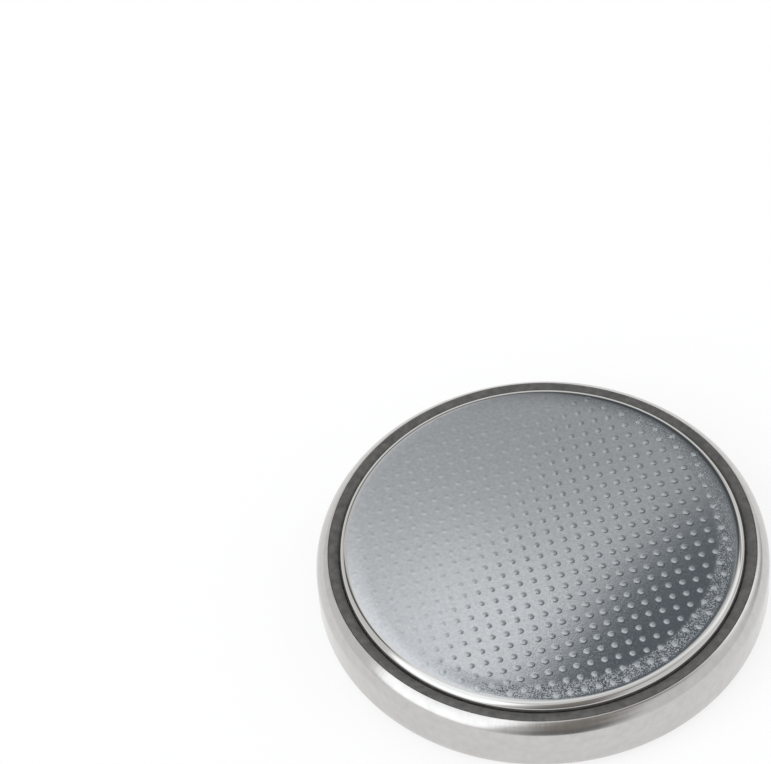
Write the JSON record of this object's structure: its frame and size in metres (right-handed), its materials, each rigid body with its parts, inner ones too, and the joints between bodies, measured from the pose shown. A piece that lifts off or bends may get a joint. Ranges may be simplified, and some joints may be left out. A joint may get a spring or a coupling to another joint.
{
  "type": "lithium coin cell",
  "caption": "Round flat coin cell: a steel can with a rolled rim, a sealing ring, a pipped cap on top and the stack of discs between them.",
  "frame": {"origin": "centre of the flat positive face, on the surface that the cell lies on", "axes": "+Z along the cell's axis, out of the negative cap"},
  "size_m": [0.02, 0.02, 0.0032],
  "materials": {
    "can_steel": "satin, nickel-plated stainless steel, drawn and rolled",
    "cap_steel": "satin, nickel-plated stainless steel, drawn and embossed",
    "gasket_plastic": "moulded polypropylene, dark with sealant",
    "lithium_metal": "soft rolled metal, slightly dulled",
    "separator_felt": "white non-woven polypropylene",
    "cathode_mix": "pressed black powder, matt",
    "grid_steel": "thin stainless steel grid, plain"
  },
  "bodies": {
    "root": {"positive_can": "can_steel", "gasket": "gasket_plastic", "negative_cap": "cap_steel", "lithium_disc": "lithium_metal", "separator": "separator_felt", "cathode_tablet": "cathode_mix", "collector_grid": "grid_steel"}
  },
  "joints": []
}
